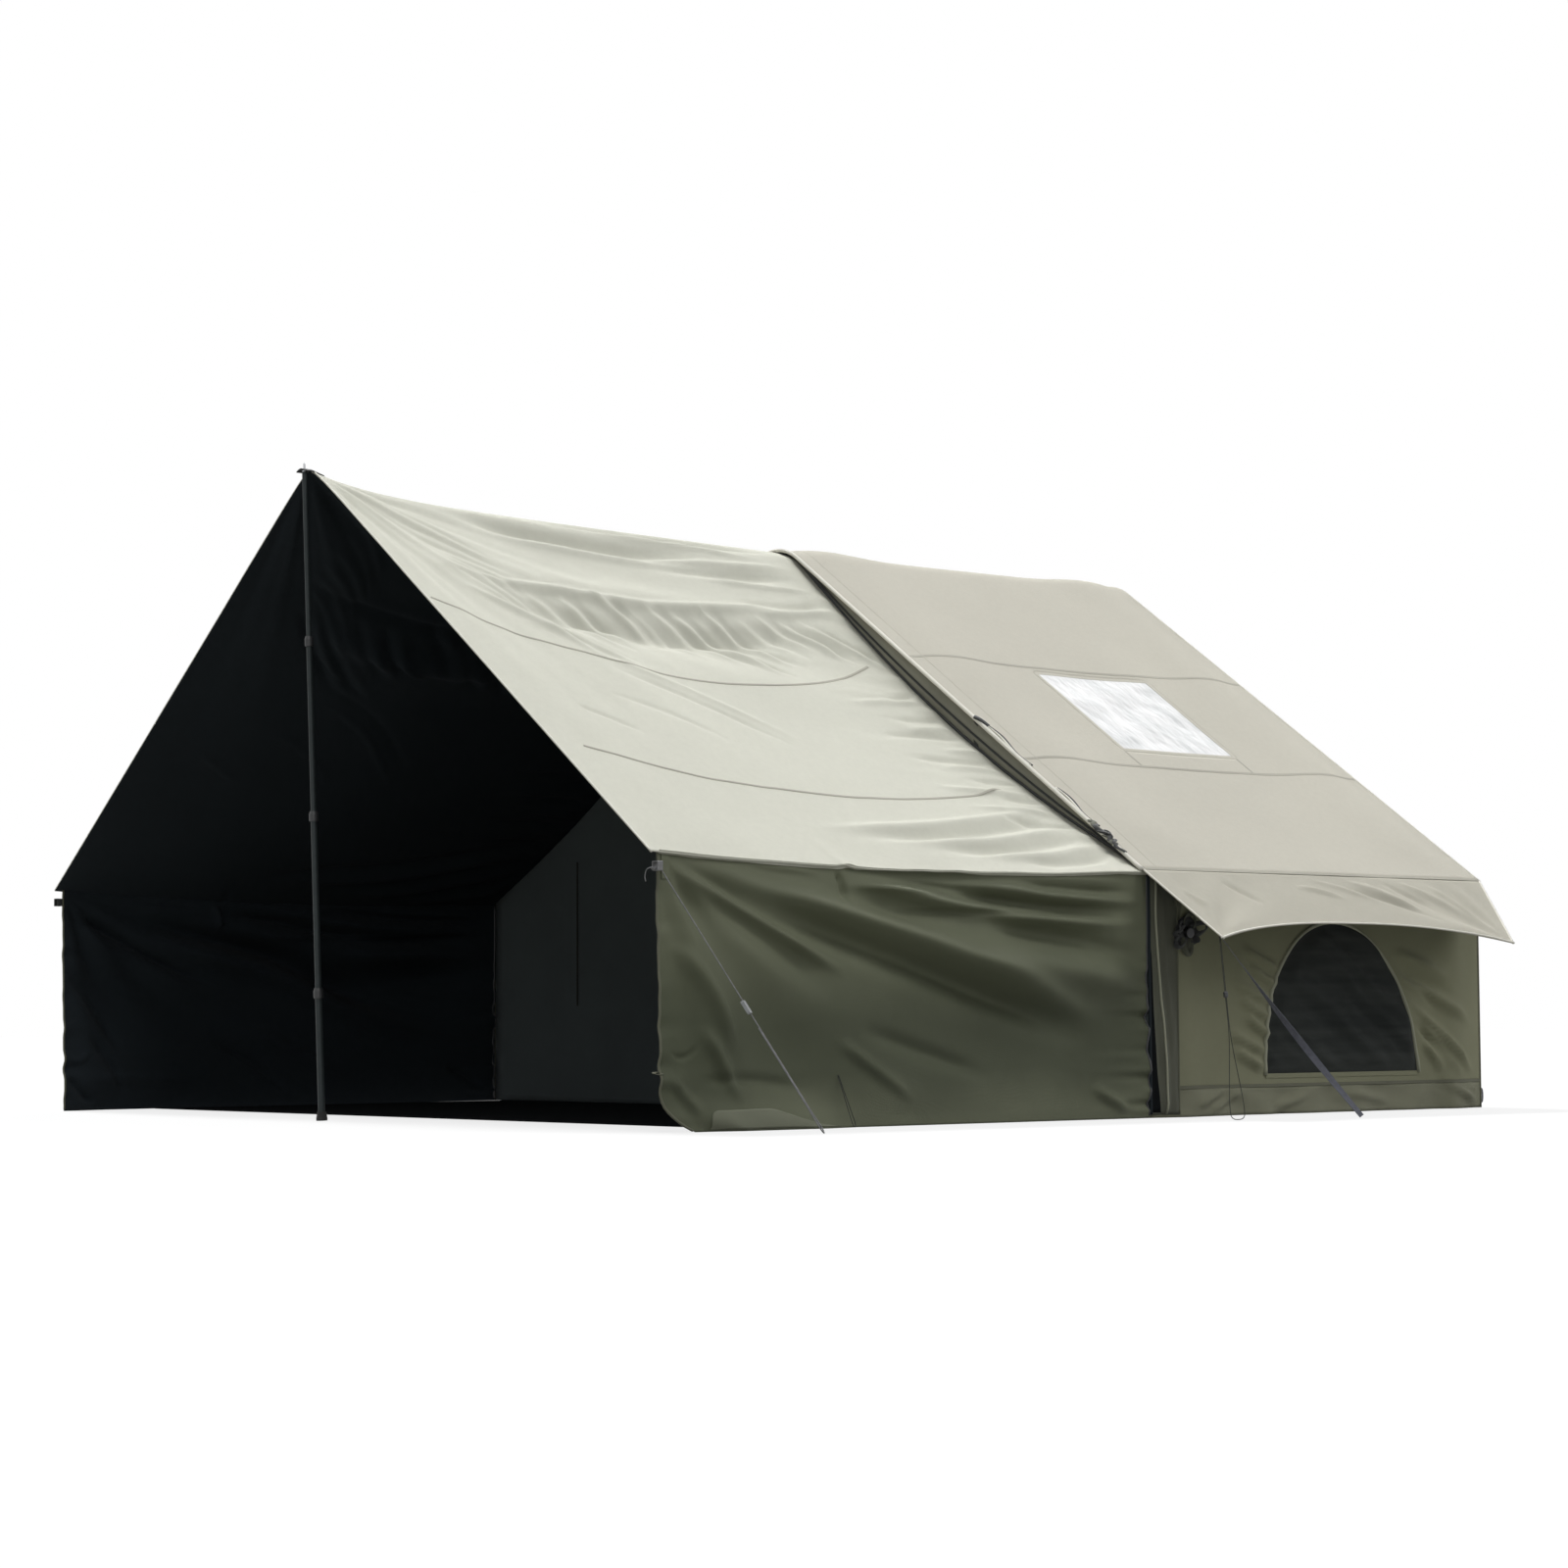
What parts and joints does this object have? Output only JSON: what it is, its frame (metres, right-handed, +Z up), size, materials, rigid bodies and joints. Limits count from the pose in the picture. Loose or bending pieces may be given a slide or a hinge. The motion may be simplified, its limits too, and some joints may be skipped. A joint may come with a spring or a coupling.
{
  "type": "inflatable tent",
  "caption": "House-shaped tent held up by inflatable air beams, with an open-fronted awning on a telescopic pole, an arched mesh window on each side and roof skylights.",
  "frame": {"origin": "on the ground under the middle of the tent, halfway between the awning's front and the rear gable", "axes": "+X to the tent's right seen from the awning's front, where the window facing the viewer is; -Y out of the awning's open front; +Z up"},
  "size_m": [5.5017, 4.4932, 2.5608],
  "materials": {
    "beige_canvas": "matt polycotton roof cloth",
    "green_canvas": "matt dark green wall cloth",
    "olive_coated": "dark olive coated cloth with a faint sheen",
    "black_cloth": "matt black inner cloth",
    "window_film": "pale translucent film",
    "net": "fine dark insect mesh",
    "webbing": "woven grey webbing and cord",
    "black_plastic": "satin moulded plastic",
    "rubber": "matt rubber",
    "bladder_film": "clear inflatable film",
    "pole_steel": "plated steel tube"
  },
  "bodies": {
    "tent": {"roof_upper_right": "beige_canvas", "roof_band_right": "beige_canvas", "roof_lower_right": "beige_canvas", "eave_flap_right": "beige_canvas", "awning_roof_right": "beige_canvas", "cabin_wall_right": "green_canvas", "wall_skirt_right": "green_canvas", "zip_flap_right": "green_canvas", "skylight_right": "window_film", "window_mesh_right": "net", "awning_wall_right": "olive_coated", "corner_loop_right": "webbing", "junction_tie_right": "black_plastic", "roof_upper_left": "beige_canvas", "roof_band_left": "beige_canvas", "roof_lower_left": "beige_canvas", "eave_flap_left": "beige_canvas", "awning_roof_left": "beige_canvas", "cabin_wall_left": "green_canvas", "wall_skirt_left": "green_canvas", "zip_flap_left": "green_canvas", "skylight_left": "window_film", "window_mesh_left": "net", "awning_wall_left": "olive_coated", "corner_loop_left": "webbing", "junction_tie_left": "black_plastic", "front_beam_sleeve": "green_canvas", "front_beam_bladder": "bladder_film", "rear_beam_sleeve": "green_canvas", "rear_beam_bladder": "bladder_film", "ridge_beam_sleeve": "green_canvas", "ridge_beam_bladder": "bladder_film", "rear_gable": "green_canvas", "front_gable": "black_cloth", "cabin_groundsheet": "black_cloth", "awning_groundsheet": "black_cloth", "door_zip_tape": "black_plastic", "valve_body": "black_plastic", "pole_foot": "rubber", "apex_tab": "webbing", "guy_rope": "webbing", "strap_buckle": "black_plastic", "eave_strap": "webbing", "corner_cord": "olive_coated", "hem_cord": "black_cloth", "pole_section_1": "pole_steel"},
    "door": {"door_panel": "black_cloth"},
    "zip_slider": {"door_zip_slider": "black_plastic"},
    "right_window_cover": {"window_cover_right": "green_canvas"},
    "left_window_cover": {"window_cover_left": "green_canvas"},
    "air_valve_cap": {"valve_cap": "webbing"},
    "lower_middle_pole": {"pole_section_2": "pole_steel"},
    "upper_middle_pole": {"pole_section_3": "pole_steel"},
    "top_pole": {"pole_section_4": "pole_steel", "pole_spike": "pole_steel"},
    "low_collar": {"pole_collar_1": "black_plastic"},
    "middle_collar": {"pole_collar_2": "black_plastic"},
    "high_collar": {"pole_collar_3": "black_plastic"},
    "tensioner": {"rope_tensioner": "black_plastic"},
    "lock": {"cord_lock": "black_plastic"}
  },
  "joints": [
    {"name": "door_swing", "type": "hinge", "parent": "tent", "child": "door", "pos_m": [-0.448, 0.1753, 0.95], "axis": [0, 0, -1], "range_deg": [0, 100]},
    {"name": "zip_slide", "type": "slide", "parent": "tent", "child": "zip_slider", "axis": [0, 0, 1], "range_m": [-0.87, 0.5]},
    {"name": "right_cover_fold", "type": "hinge", "parent": "tent", "child": "right_window_cover", "pos_m": [2.161, 1.3, 0.135], "axis": [0, 1, 0], "range_deg": [0, 100.4]},
    {"name": "left_cover_fold", "type": "hinge", "parent": "tent", "child": "left_window_cover", "pos_m": [-2.161, 1.3, 0.135], "axis": [0, -1, 0], "range_deg": [0, 100.4]},
    {"name": "valve_cap_flip", "type": "hinge", "parent": "tent", "child": "air_valve_cap", "pos_m": [2.2141, 0.36, 0.731], "axis": [0, -1, 0], "range_deg": [0, 120]},
    {"name": "lower_middle_telescope", "type": "slide", "parent": "tent", "child": "lower_middle_pole", "axis": [0, -0.0371, 0.9993], "range_m": [-0.36, 0]},
    {"name": "upper_middle_telescope", "type": "slide", "parent": "lower_middle_pole", "child": "upper_middle_pole", "axis": [0, -0.0371, 0.9993], "range_m": [-0.62, 0]},
    {"name": "top_telescope", "type": "slide", "parent": "upper_middle_pole", "child": "top_pole", "axis": [0, -0.0371, 0.9993], "range_m": [-0.6, 0]},
    {"name": "low_collar_twist", "type": "hinge", "parent": "tent", "child": "low_collar", "pos_m": [0, -2.18319, 0.49048], "axis": [0, -0.0371, 0.9993], "range_deg": [0, 90]},
    {"name": "middle_collar_twist", "type": "hinge", "parent": "lower_middle_pole", "child": "middle_collar", "pos_m": [0, -2.20881, 1.18], "axis": [0, -0.0371, 0.9993], "range_deg": [0, 90]},
    {"name": "high_collar_twist", "type": "hinge", "parent": "upper_middle_pole", "child": "high_collar", "pos_m": [0, -2.23406, 1.85953], "axis": [0, -0.0371, 0.9993], "range_deg": [0, 90]},
    {"name": "tensioner_slide", "type": "slide", "parent": "tent", "child": "tensioner", "axis": [0.4517, 0.2979, -0.841], "range_m": [-0.08, 0.2]},
    {"name": "lock_slide", "type": "slide", "parent": "tent", "child": "lock", "axis": [0.1164, 0, -0.9932], "range_m": [-0.15, 0.08]}
  ]
}
